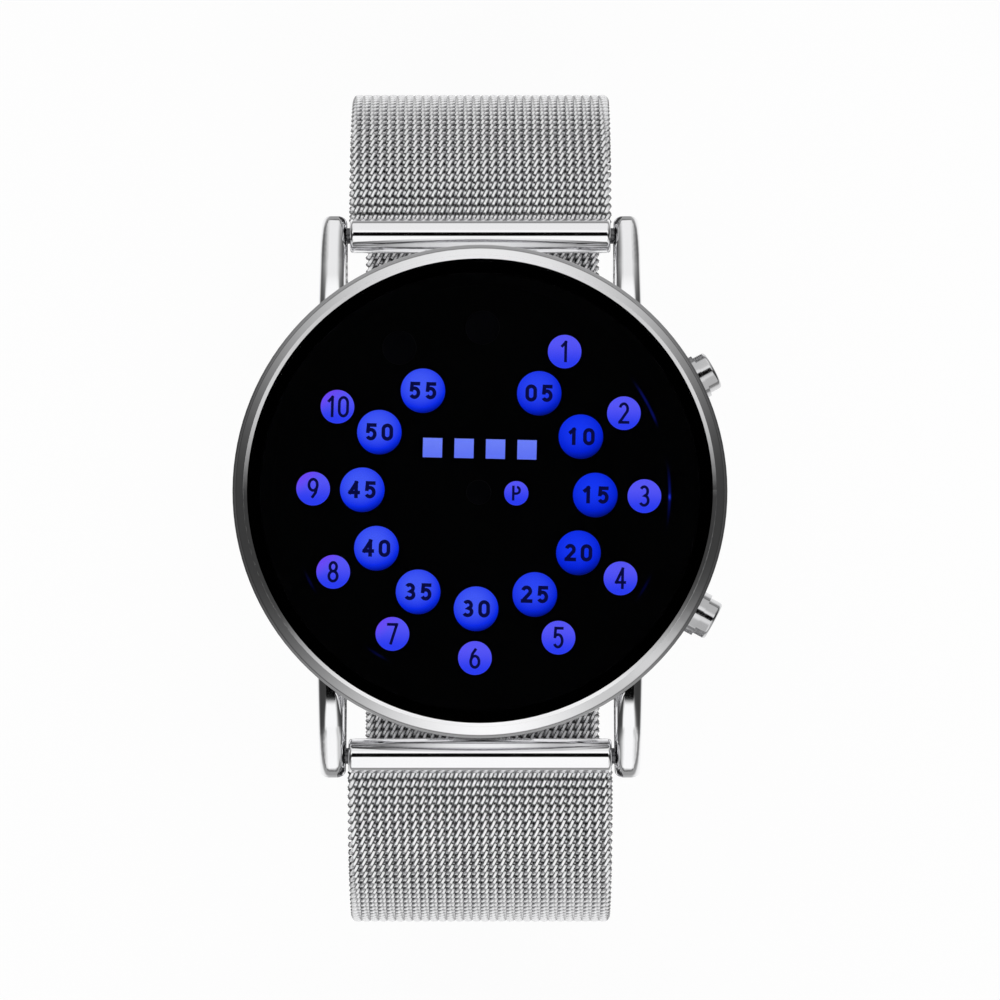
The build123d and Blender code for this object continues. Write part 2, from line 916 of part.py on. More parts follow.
def band_tail_cap():
    half = band_width / 2
    wall = tail_cap_wall
    low = band_floor_level - half_band - close_gap
    high = band_floor_level + half_band + close_gap
    outer = block(
        (-half, tail_reach - tail_cap_length, low - wall),
        (half, tail_reach + close_gap + wall, high + wall),
    )
    slot = block((-half - overrun, 0, low), (half + overrun, tail_reach + close_gap, high))
    return outer - slot


# Clasp

def clasp_body():
    half_width = clasp_width / 2
    half_length = clasp_length / 2
    tray = block((-half_width, -half_length, 0), (half_width, half_length, clasp_side_height))
    tray = fillet(tray.edges().filter_by(Axis.Z), clasp_corner_radius)
    channel_half = half_width - clasp_side_wall
    channel = block(
        (-channel_half, -half_length - overrun, clasp_floor),
        (channel_half, half_length + overrun, clasp_side_height + overrun),
    )
    tray = tray - channel
    bridge_half = channel_half + clasp_side_wall / 2
    bridge_low = band_floor_level + half_band + free_gap
    bridge = block(
        (-bridge_half, -half_length, bridge_low),
        (bridge_half, clasp_bridge_length - half_length, bridge_low + clasp_bridge_thickness),
    )
    tray = tray + bridge
    for inset in (flap_pin_inset, lever_pin_inset):
        hole_radius = hinge_pin_radius + close_gap
        tray = tray - rod_x(hole_radius, -clasp_width, clasp_width, half_length - inset, pin_level)
    return tray


def hinge_pin(inset):
    half = clasp_width / 2 - running_gap
    return rod_x(hinge_pin_radius, -half, half, clasp_length / 2 - inset, pin_level)


def knuckle(half, reach):
    return rod_x(knuckle_radius, -half, half, reach, pin_level)


def pin_bore(half, reach):
    return rod_x(hinge_pin_radius + hinge_pin_gap, -half - overrun, half + overrun, reach, pin_level)


def clamp_flap():
    half = clasp_width / 2 - clasp_side_wall - free_gap
    reach = clasp_length / 2 - flap_pin_inset
    low = pin_level - plate_thickness / 2
    high = pin_level + plate_thickness / 2
    free_end = clasp_bridge_length - clasp_length / 2 + free_gap
    flap = block((-half, free_end, low), (half, reach, high))
    tooth = block((-half, free_end, low - flap_tooth_height), (half, free_end + flap_tooth_length, low))
    return flap + tooth + knuckle(half, reach) - pin_bore(half, reach)


def hook_lever():
    half = lever_width / 2
    knuckle_half = clasp_width / 2 - clasp_side_wall - free_gap
    reach = clasp_length / 2 - lever_pin_inset
    low = pin_level - plate_thickness / 2
    high = pin_level + plate_thickness / 2
    plate = block((-half, reach, low), (half, lever_lip_end, high))
    plate = fillet(plate.edges().filter_by(Axis.Z).group_by(Axis.Y)[-1], clasp_corner_radius)
    lip = block(
        (-half + clasp_corner_radius, lever_lip_end - lever_lip_thickness, low - lever_lip_height),
        (half - clasp_corner_radius, lever_lip_end, low),
    )
    return plate + lip + knuckle(knuckle_half, reach) - pin_bore(knuckle_half, reach)


def end_holder():
    band_half = band_width / 2 + running_gap
    outer_half = band_half + holder_wall
    slot_low = band_floor_level - half_band - seat_gap
    slot_high = band_floor_level + half_band + 2 * seat_gap
    body_end = holder_start + holder_body_length
    body = block(
        (-outer_half, holder_start, slot_low - holder_wall),
        (outer_half, body_end, slot_high + holder_wall),
    )
    slot = block((-band_half, holder_slot_start, slot_low), (band_half, body_end + overrun, slot_high))
    body = body - slot
    ear = block(
        (outer_half - holder_ear_width, end_bar_reach - holder_ear_lead - end_bar_radius / 2, slot_low),
        (outer_half, holder_start, slot_high),
    )
    front = ear.edges().filter_by(Axis.X).group_by(Axis.Y)[0]
    ear = fillet(front, end_bar_radius)
    holder = body + ear + other_side(ear)
    hole_radius = end_bar_radius + close_gap
    return holder - rod_x(hole_radius, -clasp_width, clasp_width, end_bar_reach, band_floor_level)


def end_bar():
    half = band_width / 2 + holder_wall - running_gap
    return rod_x(end_bar_radius, -half, half, end_bar_reach, band_floor_level)


# Write every piece

save("case_body", case_body())
save("bezel", bezel())
save("crystal", crystal())
save("crystal_gasket", crystal_gasket())
save("dial_mask", dial_mask())
save("hour_windows", round_windows(hour_places(), hour_window_radius))
save("minute_windows", round_windows(minute_places(), minute_window_radius))
save("minute_squares", minute_squares())
save("half_day_windows", round_windows(half_day_places(), half_day_radius))
save("light_well_frame", light_well_frame())
save("leds", leds())
save("circuit_board", circuit_board())
save("controller_chip", controller_chip())
save("timing_crystal", timing_crystal())
save("battery", battery())
save("battery_contact", battery_contact())
save("battery_strap", battery_strap())
save("movement_holder", movement_holder())
save("switch_contacts", switch_contacts())
save("case_back", case_back())
save("case_back_gasket", case_back_gasket())
save("case_back_screws", case_back_screws())

for place_name, side in (("upper", 1), ("lower", -1)):
    save("pusher_tube_" + place_name, on_spoke(pusher_tube(), side))
    save("pusher_" + place_name, on_spoke(pusher(), side))
    save("pusher_clip_" + place_name, on_spoke(retaining_clip(), side))
    save("pusher_seal_" + place_name, on_spoke(pusher_seal(), side))
    save("pusher_spring_" + place_name, on_spoke(pusher_spring(), side))

for hour, place_solid in (("12", lambda solid: solid), ("6", other_end)):
    save("spring_bar_barrel_" + hour, place_solid(bar_barrel()))
    save("spring_bar_tip_" + hour + "_right", place_solid(bar_tip()))
    save("spring_bar_tip_" + hour + "_left", place_solid(other_side(bar_tip())))
    save("spring_bar_spring_" + hour, place_solid(bar_spring()))
    save("band_end_tube_" + hour, place_solid(end_tube()))
    save("band_shoulder_" + hour, place_solid(band_shoulder()))
    save("band_side_" + hour, place_solid(band_side()))

save("band_lower_12", band_lower(band_end_reach))
save("band_lower_6", other_end(band_lower(-tail_reach)))
save("band_tail_cap", band_tail_cap())
save("clasp_body", clasp_body())
save("clamp_flap", clamp_flap())
save("clamp_flap_pin", hinge_pin(flap_pin_inset))
save("hook_lever", hook_lever())
save("hook_lever_pin", hinge_pin(lever_pin_inset))
save("end_holder", end_holder())
save("end_bar", end_bar())
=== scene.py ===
import bpy
import json
import math
import numpy as np
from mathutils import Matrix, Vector


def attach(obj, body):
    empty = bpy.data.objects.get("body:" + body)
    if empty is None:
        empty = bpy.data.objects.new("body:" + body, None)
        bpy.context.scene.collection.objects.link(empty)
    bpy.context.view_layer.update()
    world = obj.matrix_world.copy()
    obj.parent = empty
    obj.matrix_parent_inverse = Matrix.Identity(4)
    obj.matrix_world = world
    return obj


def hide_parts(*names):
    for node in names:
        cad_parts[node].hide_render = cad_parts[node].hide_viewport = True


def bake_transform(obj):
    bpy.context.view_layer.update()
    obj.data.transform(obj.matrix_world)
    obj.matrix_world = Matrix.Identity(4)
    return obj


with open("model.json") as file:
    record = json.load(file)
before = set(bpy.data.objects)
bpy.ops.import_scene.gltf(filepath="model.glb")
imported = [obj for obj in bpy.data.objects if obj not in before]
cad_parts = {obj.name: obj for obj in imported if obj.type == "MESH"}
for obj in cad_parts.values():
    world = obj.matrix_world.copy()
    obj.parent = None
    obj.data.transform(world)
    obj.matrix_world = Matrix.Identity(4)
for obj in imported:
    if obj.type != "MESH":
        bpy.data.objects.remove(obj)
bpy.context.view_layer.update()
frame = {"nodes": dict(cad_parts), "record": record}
nodes = frame["nodes"]
mm = 0.001
print("watch frame loaded,", len(nodes), "pieces")


# Camera, straight above the glass and tilted a little towards 6 o'clock

photoView = {
    "distance": 0.340,
    "tilt": 4.4,
    "lens": 151.2,
    "aim": (0.00162, -0.00073, 0.0526),
}

cameraData = bpy.data.cameras.new("photoCamera")
cameraData.lens = photoView["lens"]
cameraData.sensor_width = 36
cameraData.clip_end = 10
camera = bpy.data.objects.new("photoCamera", cameraData)
bpy.context.scene.collection.objects.link(camera)
tilt = math.radians(photoView["tilt"])
toCamera = Vector((0, -math.sin(tilt), math.cos(tilt)))
camera.location = Vector(photoView["aim"]) + toCamera * photoView["distance"]
camera.rotation_euler = toCamera.to_track_quat("Z", "Y").to_euler()
bpy.context.scene.camera = camera
bpy.context.scene.view_settings.view_transform = "Standard"
print("camera placed")


# Small helpers for node trees

def srgb(red, green, blue):
    def toLinear(value):
        value = value / 255
        return value / 12.92 if value <= 0.04045 else ((value + 0.055) / 1.055) ** 2.4
    return (toLinear(red), toLinear(green), toLinear(blue), 1)


def addNode(tree, kind, **settings):
    node = tree.nodes.new(kind)
    for key, value in settings.items():
        setattr(node, key, value)
    return node


def join(tree, source, target):
    if isinstance(source, (int, float, tuple)):
        target.default_value = source
    else:
        tree.links.new(source, target)


def mathNode(tree, operation, first, second=None, third=None, clamp=False):
    node = addNode(tree, "ShaderNodeMath", operation=operation, use_clamp=clamp)
    for slot, value in enumerate((first, second, third)):
        if value is not None:
            join(tree, value, node.inputs[slot])
    return node.outputs[0]


def vectorNode(tree, operation, first, second=None):
    node = addNode(tree, "ShaderNodeVectorMath", operation=operation)
    join(tree, first, node.inputs[0])
    if second is not None:
        join(tree, second, node.inputs[1])
    return node.outputs["Value"] if operation in ("DOT_PRODUCT", "LENGTH") else node.outputs[0]


def splitAxes(tree, vector):
    node = addNode(tree, "ShaderNodeSeparateXYZ")
    join(tree, vector, node.inputs[0])
    return list(node.outputs)


def ramp(tree, factor, stops):
    node = addNode(tree, "ShaderNodeValToRGB")
    elements = node.color_ramp.elements
    while len(elements) < len(stops):
        elements.new(0.5)
    for element, (place, colour) in zip(elements, stops):
        element.position = place
        element.color = colour
    join(tree, factor, node.inputs[0])
    return node.outputs[0]


def smooth(tree, value, low, high, start=0.0, end=1.0):
    node = addNode(tree, "ShaderNodeMapRange", interpolation_type="SMOOTHSTEP")
    for slot, entry in enumerate((value, low, high, start, end)):
        join(tree, entry, node.inputs[slot])
    return node.outputs[0]


def mixColour(tree, factor, first, second):
    node = addNode(tree, "ShaderNodeMix", data_type="RGBA")
    join(tree, factor, node.inputs[0])
    join(tree, first, node.inputs[6])
    join(tree, second, node.inputs[7])
    return node.outputs[2]


def noise(tree, vector, scale, detail):
    node = addNode(tree, "ShaderNodeTexNoise")
    join(tree, vector, node.inputs["Vector"])
    node.inputs["Scale"].default_value = scale
    node.inputs["Detail"].default_value = detail
    return node.outputs["Fac"]


def newMaterial(name):
    material = bpy.data.materials.new(name)
    material.use_nodes = True
    tree = material.node_tree
    return material, tree, tree.nodes["Principled BSDF"]


def objectPlace(tree):
    return addNode(tree, "ShaderNodeTexCoord").outputs["Object"]


def stretched(tree, vector, scale):
    node = addNode(tree, "ShaderNodeMapping")
    join(tree, vector, node.inputs["Vector"])
    node.inputs["Scale"].default_value = scale
    return node.outputs[0]


def bumpNode(tree, height, strength, distance):
    node = addNode(tree, "ShaderNodeBump")
    node.inputs["Strength"].default_value = strength
    node.inputs["Distance"].default_value = distance
    join(tree, height, node.inputs["Height"])
    return node.outputs[0]


# Studio: soft boxes round the watch, a dark panel right above it

studio = {
    "ambient": 0.045,
    "softBoxes": [(90, 0.85, 2.6), (272, 1.0, 4.0), (320, 0.42, 46.0)],     # azimuth, strength, focus
    "boxRise": (-0.03, 0.13),     # heights between which the soft boxes fade in
    "upperLight": 1.05,
    "upperRise": (0.60, 0.92),
    "upperFade12": (0.05, 0.55),     # sine of the angle off 3 or 9 o'clock where the upper light fades in
    "upperFade6": (0.35, 0.85),
    "panelCentre": (0.01, 0.075),
    "panelHalf": (0.30, 0.23),
    "panelEdge": (0.8, 1.12),     # shares of its half sizes between which the panel ends
    "panelGlow": 0.002,
    "leastHeight": 0.05,     # a direction is divided by its height, or by this
}

world = bpy.data.worlds.new("studio")
bpy.context.scene.world = world
world.use_nodes = True
tree = world.node_tree
tree.nodes.clear()
direction = addNode(tree, "ShaderNodeTexCoord").outputs["Generated"]
level = vectorNode(tree, "NORMALIZE", vectorNode(tree, "MULTIPLY", direction, (1, 1, 0)))
towardX, towardY, towardZ = splitAxes(tree, direction)
side = 0.0
for azimuth, strength, focus in studio["softBoxes"]:
    angle = math.radians(azimuth)
    facing = vectorNode(tree, "DOT_PRODUCT", level, (math.cos(angle), math.sin(angle), 0))
    lobe = mathNode(tree, "POWER", mathNode(tree, "MAXIMUM", facing, 0.0), focus)
    side = mathNode(tree, "ADD", side, mathNode(tree, "MULTIPLY", lobe, strength))
boxGate = smooth(tree, towardZ, *studio["boxRise"])
side = mathNode(tree, "ADD", mathNode(tree, "MULTIPLY", side, boxGate), studio["ambient"])
levelY = splitAxes(tree, level)[1]
toward12 = smooth(tree, levelY, *studio["upperFade12"])
toward6 = smooth(tree, mathNode(tree, "MULTIPLY", levelY, -1.0), *studio["upperFade6"])
upper = smooth(tree, towardZ, *studio["upperRise"])
upper = mathNode(tree, "MULTIPLY", upper, mathNode(tree, "ADD", toward12, toward6))
upper = mathNode(tree, "MULTIPLY", upper, studio["upperLight"])
light = mathNode(tree, "MAXIMUM", side, upper)
height = mathNode(tree, "MAXIMUM", towardZ, studio["leastHeight"])
offPanel = 0.0
for toward, centre, panelHalf in zip((towardX, towardY), studio["panelCentre"], studio["panelHalf"]):
    share = mathNode(tree, "SUBTRACT", mathNode(tree, "DIVIDE", toward, height), centre)
    share = mathNode(tree, "POWER", mathNode(tree, "DIVIDE", share, panelHalf), 2.0)
    offPanel = mathNode(tree, "ADD", offPanel, share)
beyondPanel = smooth(tree, mathNode(tree, "SQRT", offPanel), *studio["panelEdge"])
light = mathNode(tree, "ADD", mathNode(tree, "MULTIPLY", light, beyondPanel), studio["panelGlow"])
studioGlow = addNode(tree, "ShaderNodeBackground")
join(tree, light, studioGlow.inputs["Color"])
worldOut = addNode(tree, "ShaderNodeOutputWorld")
join(tree, studioGlow.outputs[0], worldOut.inputs[0])
print("studio lit")


# Floor: a painted pool of light, white under the watch and fading to painted greys further out, with the
# watch's shadow

floorLook = {
    "size": 4.0,
    "drop": 0.00005,     # it lies this far below the watch
    "lightPoolReach": 0.062,
    "lightPoolFade": 0.16,     # the painted pool of light falls off slowly over this length
    "greyTurn": (0.2, 0.95),     # painted shade: from 3 and 9 o'clock towards 12 and 6 the floor turns paler
    "rough": 0.9,
    "glow": 0.88,     # share of its own light in what the camera sees
    "glowLevel": 1.06,
    "white": (0.92, 0.92, 0.92, 1),
    # painted shade far from the watch, darkest towards 3 and 9 o'clock, which the metal reflects
    "grey": (0.14, 0.14, 0.14, 1),
    "paleGrey": (0.34, 0.34, 0.34, 1),
}

floorMesh = bpy.data.meshes.new("floor")
half = floorLook["size"] / 2
corners = [(-half, -half, 0), (half, -half, 0), (half, half, 0), (-half, half, 0)]
floorMesh.from_pydata(corners, [], [(0, 1, 2, 3)])
floor = bpy.data.objects.new("floor", floorMesh)
floor.location = (0, 0, -floorLook["drop"])
bpy.context.scene.collection.objects.link(floor)
floorPaint, tree, shader = newMaterial("whiteFloor")
shader.inputs["Roughness"].default_value = floorLook["rough"]
shader.inputs["Specular IOR Level"].default_value = 0.0
outward = vectorNode(tree, "LENGTH", objectPlace(tree))
lightPoolEnd = floorLook["lightPoolReach"] + floorLook["lightPoolFade"]
inLightPool = smooth(tree, outward, lightPoolEnd, floorLook["lightPoolReach"])
around = vectorNode(tree, "NORMALIZE", vectorNode(tree, "MULTIPLY", objectPlace(tree), (1, 1, 0)))
bandward = splitAxes(tree, vectorNode(tree, "ABSOLUTE", around))[1]
bandward = smooth(tree, bandward, *floorLook["greyTurn"])
shadedFarFloor = mixColour(tree, bandward, floorLook["grey"], floorLook["paleGrey"])
# painted pool of light and painted shade, in the floor's colour and in its glow
join(tree, mixColour(tree, inLightPool, shadedFarFloor, floorLook["white"]), shader.inputs["Base Color"])
glow = addNode(tree, "ShaderNodeEmission")
join(tree, mixColour(tree, inLightPool, shadedFarFloor, (1, 1, 1, 1)), glow.inputs["Color"])
glow.inputs["Strength"].default_value = floorLook["glowLevel"]
rays = addNode(tree, "ShaderNodeLightPath")
seen = mathNode(tree, "MAXIMUM", rays.outputs["Is Camera Ray"], rays.outputs["Is Glossy Ray"])
seen = mathNode(tree, "MAXIMUM", seen, rays.outputs["Is Transmission Ray"])
floorMix = addNode(tree, "ShaderNodeMixShader")
join(tree, mathNode(tree, "MULTIPLY", seen, floorLook["glow"]), floorMix.inputs[0])
join(tree, shader.outputs[0], floorMix.inputs[1])
join(tree, glow.outputs[0], floorMix.inputs[2])
join(tree, floorMix.outputs[0], tree.nodes["Material Output"].inputs[0])
floorMesh.materials.append(floorPaint)
print("floor laid")


# Metal finishes

grainRange = (0.3, 0.7)     # where most of the noise lies
grainHeight = 0.00002


def steel(name, look):
    material, tree, shader = newMaterial(name)
    place = objectPlace(tree)
    grain = noise(tree, stretched(tree, place, look["grain"]), look["grainScale"], 4.0)
    cloud = noise(tree, place, look["cloudScale"], 2.0)
    join(tree, mixColour(tree, cloud, look["dark"], look["light"]), shader.inputs["Base Color"])
    shader.inputs["Metallic"].default_value = 1.0
    join(tree, smooth(tree, grain, *grainRange, *look["rough"]), shader.inputs["Roughness"])
    join(tree, bumpNode(tree, grain, look["bump"], grainHeight), shader.inputs["Normal"])
    return material


finishes = {
    "polished_steel": steel("polishedSteel", {
        "dark": (0.88, 0.88, 0.89, 1), "light": (0.93, 0.93, 0.94, 1), "rough": (0.05, 0.09),
        "grain": (1, 1, 1), "grainScale": 900, "cloudScale": 120, "bump": 0.02,
    }),
    "brushed_steel": steel("brushedSteel", {
        "dark": (0.68, 0.68, 0.69, 1), "light": (0.78, 0.78, 0.79, 1), "rough": (0.2, 0.34),
        "grain": (0.06, 1, 1), "grainScale": 5000, "cloudScale": 200, "bump": 0.12,
    }),
    "spring_steel": steel("springWire", {
        "dark": (0.5, 0.5, 0.52, 1), "light": (0.6, 0.6, 0.62, 1), "rough": (0.18, 0.3),
        "grain": (1, 1, 1), "grainScale": 2500, "cloudScale": 300, "bump": 0.05,
    }),
    "cell_steel": steel("nickelPlate", {
        "dark": (0.66, 0.65, 0.63, 1), "light": (0.74, 0.73, 0.7, 1), "rough": (0.16, 0.3),
        "grain": (1, 1, 1), "grainScale": 1500, "cloudScale": 150, "bump": 0.03,
    }),
    "contact_metal": steel("goldPlate", {
        "dark": (0.75, 0.55, 0.22, 1), "light": (0.85, 0.65, 0.3, 1), "rough": (0.15, 0.25),
        "grain": (1, 1, 1), "grainScale": 1500, "cloudScale": 200, "bump": 0.03,
    }),
}


# Plastics, rubber and board lacquer

def plastic(name, look):
    material, tree, shader = newMaterial(name)
    fleck = noise(tree, objectPlace(tree), look["grainScale"], 3.0)
    join(tree, mixColour(tree, fleck, look["dark"], look["light"]), shader.inputs["Base Color"])
    join(tree, smooth(tree, fleck, *grainRange, *look["rough"]), shader.inputs["Roughness"])
    join(tree, bumpNode(tree, fleck, look["bump"], grainHeight), shader.inputs["Normal"])
    return material


finishes["black_plastic"] = plastic("blackPlastic", {
    "dark": (0.01, 0.01, 0.011, 1), "light": (0.02, 0.02, 0.022, 1), "rough": (0.4, 0.6),
    "grainScale": 1800, "bump": 0.2,
})
finishes["lamp_resin"] = plastic("lampResin", {
    "dark": (0.75, 0.78, 0.8, 1), "light": (0.85, 0.87, 0.88, 1), "rough": (0.15, 0.25),
    "grainScale": 900, "bump": 0.02,
})
finishes["board_laminate"] = plastic("boardLacquer", {
    "dark": (0.01, 0.09, 0.045, 1), "light": (0.02, 0.14, 0.07, 1), "rough": (0.25, 0.4),
    "grainScale": 1200, "bump": 0.08,
})
finishes["seal_rubber"] = plastic("sealRubber", {
    "dark": (0.012, 0.012, 0.012, 1), "light": (0.022, 0.022, 0.022, 1), "rough": (0.55, 0.75),
    "grainScale": 2600, "bump": 0.25,
})


# Glass

def watchGlass():
    material, tree, shader = newMaterial("watchGlass")
    haze = noise(tree, objectPlace(tree), 60, 2.0)
    shader.inputs["Base Color"].default_value = (1, 1, 1, 1)
    shader.inputs["Transmission Weight"].default_value = 1.0
    shader.inputs["IOR"].default_value = 1.5
    shader.inputs["Specular IOR Level"].default_value = 0.35
    join(tree, smooth(tree, haze, 0.2, 0.8, 0.0, 0.004), shader.inputs["Roughness"])
    return material


finishes["crystal_glass"] = watchGlass()


# Case and bezel: bump in metres bends the polished steel's highlights, under its grain

lugFall = {
    "shift": 0.0007,     # reaches along the band are measured from here, in metres
    "start": 0.0157,     # from here the lug tops fall away a little
    "crest": 0.0195,     # from here their noses are rounded more softly
    "topCurve": 30.0,
    "noseCurve": 125.0,
}
bezelRim = {
    "radius": 0.01909,     # inside it the narrow rim shines like the slope beside it
    "slope": 0.72,
    "edgeReach": (0.0196, 0.0199),     # painted shade: the outer edge is darker towards 3 and 9 o'clock
    "edgeTurn": (0.95, 0.35),
    "edgeShade": 0.75,
    "edgeShadeColour": (0.16, 0.16, 0.165, 1),
}


def polishedCopy(name):
    material = finishes["polished_steel"].copy()
    material.name = name
    return material, material.node_tree, material.node_tree.nodes["Principled BSDF"]


def bendNormals(tree, shader, height):
    grainBump = shader.inputs["Normal"].links[0].from_node
    join(tree, bumpNode(tree, height, 1.0, 1.0), grainBump.inputs["Normal"])


def caseSteel():
    material, tree, shader = polishedCopy("caseSteel")
    along = splitAxes(tree, objectPlace(tree))[1]
    reach = mathNode(tree, "ABSOLUTE", mathNode(tree, "ADD", along, lugFall["shift"]))
    onTop = mathNode(tree, "MAXIMUM", mathNode(tree, "SUBTRACT", reach, lugFall["start"]), 0.0)
    onNose = mathNode(tree, "MAXIMUM", mathNode(tree, "SUBTRACT", reach, lugFall["crest"]), 0.0)
    fall = mathNode(tree, "MULTIPLY", mathNode(tree, "POWER", onTop, 2.0), -lugFall["topCurve"])
    rise = mathNode(tree, "MULTIPLY", mathNode(tree, "POWER", onNose, 2.0), lugFall["noseCurve"])
    bendNormals(tree, shader, mathNode(tree, "ADD", fall, rise))
    return material


def bezelSteel():
    material, tree, shader = polishedCopy("bezelSteel")
    level = vectorNode(tree, "MULTIPLY", objectPlace(tree), (1, 1, 0))
    radius = vectorNode(tree, "LENGTH", level)
    inside = mathNode(tree, "MAXIMUM", mathNode(tree, "SUBTRACT", bezelRim["radius"], radius), 0.0)
    bendNormals(tree, shader, mathNode(tree, "MULTIPLY", inside, bezelRim["slope"]))
    # painted shade on the outer edge, deepest towards 3 and 9 o'clock
    bandward = splitAxes(tree, vectorNode(tree, "ABSOLUTE", vectorNode(tree, "NORMALIZE", level)))[1]
    onEdge = smooth(tree, radius, *bezelRim["edgeReach"])
    sideShade = smooth(tree, bandward, *bezelRim["edgeTurn"], 0.0, bezelRim["edgeShade"])
    steelColour = shader.inputs["Base Color"].links[0].from_socket
    shade = mathNode(tree, "MULTIPLY", onEdge, sideShade)
    join(tree, mixColour(tree, shade, steelColour, bezelRim["edgeShadeColour"]), shader.inputs["Base Color"])
    return material


print("finishes mixed")


# Dial: lit discs under a black mask, in mm

dialPlan = {
    "offset": (-0.1, -0.12),     # from the case centre
    "turn": -1.3,     # degrees
    "discStep": 30,     # degrees from one disc of a ring to the next
    "hourRing": 13.41,
    "hourDisc": 1.38,
    "minuteRing": 9.43,
    "minuteDisc": 1.82,
    "halfDayPitch": 3.04,
    "squareReach": 3.55,
    "squareHalf": 0.8,
    "maskTop": 52.3,
    "hoursLit": range(1, 11),
}

dialColours = {
    "hourLow": srgb(44, 62, 246),
    "hourHigh": srgb(88, 88, 252),
    "hourViolet": srgb(112, 72, 250),
    "minuteRim": srgb(1, 20, 150),
    "minuteLow": srgb(10, 44, 236),
    "minuteHigh": srgb(66, 90, 252),
    "minuteDeepRim": srgb(1, 16, 120),
    "minuteDeepLow": srgb(3, 33, 215),
    "minuteDeepHigh": srgb(22, 56, 248),
    "square": srgb(112, 132, 254),
    "squareLow": srgb(98, 118, 250),
    "unlit": srgb(1, 1, 2),
}


def dialCoordinates(tree):
    placeX, placeY, _ = splitAxes(tree, objectPlace(tree))
    across = mathNode(tree, "MULTIPLY_ADD", placeX, 1 / mm, -dialPlan["offset"][0])
    along = mathNode(tree, "MULTIPLY_ADD", placeY, 1 / mm, -dialPlan["offset"][1])
    return across, along


def ringCoordinates(tree, ringRadius, discRadius):
    # place inside the nearest disc in disc radii, the disc's step round the ring, the cosine of its angle
    across, along = dialCoordinates(tree)
    turn = math.radians(dialPlan["turn"])
    discStep = math.radians(dialPlan["discStep"])
    angle = mathNode(tree, "SUBTRACT", mathNode(tree, "ARCTAN2", along, across), turn)
    step = mathNode(tree, "ROUND", mathNode(tree, "DIVIDE", angle, discStep))
    centreAngle = mathNode(tree, "MULTIPLY_ADD", step, discStep, turn)
    centreX = mathNode(tree, "COSINE", centreAngle)
    centreY = mathNode(tree, "SINE", centreAngle)
    localX = mathNode(tree, "MULTIPLY_ADD", centreX, -ringRadius, across)
    localY = mathNode(tree, "MULTIPLY_ADD", centreY, -ringRadius, along)
    localX = mathNode(tree, "DIVIDE", localX, discRadius)
    localY = mathNode(tree, "DIVIDE", localY, discRadius)
    return localX, localY, step, centreX


def litPlastic(name):
    material, tree, shader = newMaterial(name)
    shader.inputs["Base Color"].default_value = (0.0008, 0.0008, 0.0012, 1)
    shader.inputs["Roughness"].default_value = 0.6
    shader.inputs["Specular IOR Level"].default_value = 0.02
    shader.inputs["Emission Strength"].default_value = 1.0
    return material, tree, shader


glowLooks = {
    "hourRise": (0.1, 0.8),     # share of a disc's height
    "violetSide": (0.15, -0.75),     # the discs of 7 to 10 turn violet at their upper left
    "violetLean": (0.8, 0.6),
    "violetEdge": (0.1, 1.0),
    "violetMost": 0.9,
    "unlitSteps": (3.5, 0.7),     # the discs of 11 and 12
    "ballCentre": (-0.12, 0.28),     # the minute discs shine like balls, in disc radii
    "ballSquash": 1.15,
    "ballFade": 0.55,
    "paleStops": (0.0, 0.32, 0.95),
    "deepStops": (0.0, 0.4, 1.0),
    "deepSide": (0.05, 0.8),     # towards 3 o'clock the minute discs are deeper blue
    "squareGrain": 1500,
    "squareMottle": (0.2, 0.6, 0.7, 1.0),
    "halfDayRise": (-0.8, 0.9),     # mm
    "halfDayLit": (1.4, 1.6),
}


def hourGlow():
    look = glowLooks
    material, tree, shader = litPlastic("hourDiscGlow")
    localX, localY, step, centreX = ringCoordinates(tree, dialPlan["hourRing"], dialPlan["hourDisc"])
    height = smooth(tree, mathNode(tree, "MULTIPLY_ADD", localY, 0.5, 0.5, clamp=True), *look["hourRise"])
    colour = mixColour(tree, height, dialColours["hourLow"], dialColours["hourHigh"])
    leanY = mathNode(tree, "MULTIPLY", localY, look["violetLean"][0])
    leanX = mathNode(tree, "MULTIPLY", localX, look["violetLean"][1])
    upperLeft = mathNode(tree, "SUBTRACT", leanY, leanX)
    violet = smooth(tree, upperLeft, *look["violetEdge"], 0.0, look["violetMost"])
    tint = mathNode(tree, "MULTIPLY", smooth(tree, centreX, *look["violetSide"]), violet)
    colour = mixColour(tree, tint, colour, dialColours["hourViolet"])
    unlit = mathNode(tree, "COMPARE", step, *look["unlitSteps"])
    join(tree, mixColour(tree, unlit, colour, dialColours["unlit"]), shader.inputs["Emission Color"])
    return material


def minuteGlow():
    look = glowLooks
    material, tree, shader = litPlastic("minuteDiscGlow")
    localX, localY, _, centreX = ringCoordinates(tree, dialPlan["minuteRing"], dialPlan["minuteDisc"])
    offX = mathNode(tree, "POWER", mathNode(tree, "SUBTRACT", localX, look["ballCentre"][0]), 2.0)
    offY = mathNode(tree, "POWER", mathNode(tree, "SUBTRACT", localY, look["ballCentre"][1]), 2.0)
    away = mathNode(tree, "ADD", offX, mathNode(tree, "MULTIPLY", offY, look["ballSquash"]))
    fade = mathNode(tree, "MULTIPLY", away, look["ballFade"])
    lightness = mathNode(tree, "SUBTRACT", 1.0, fade, clamp=True)
    paleBlues = [dialColours[name] for name in ("minuteRim", "minuteLow", "minuteHigh")]
    deepBlues = [dialColours[name] for name in ("minuteDeepRim", "minuteDeepLow", "minuteDeepHigh")]
    pale = ramp(tree, lightness, list(zip(look["paleStops"], paleBlues)))
    deep = ramp(tree, lightness, list(zip(look["deepStops"], deepBlues)))
    colour = mixColour(tree, smooth(tree, centreX, *look["deepSide"]), pale, deep)
    join(tree, colour, shader.inputs["Emission Color"])
    return material


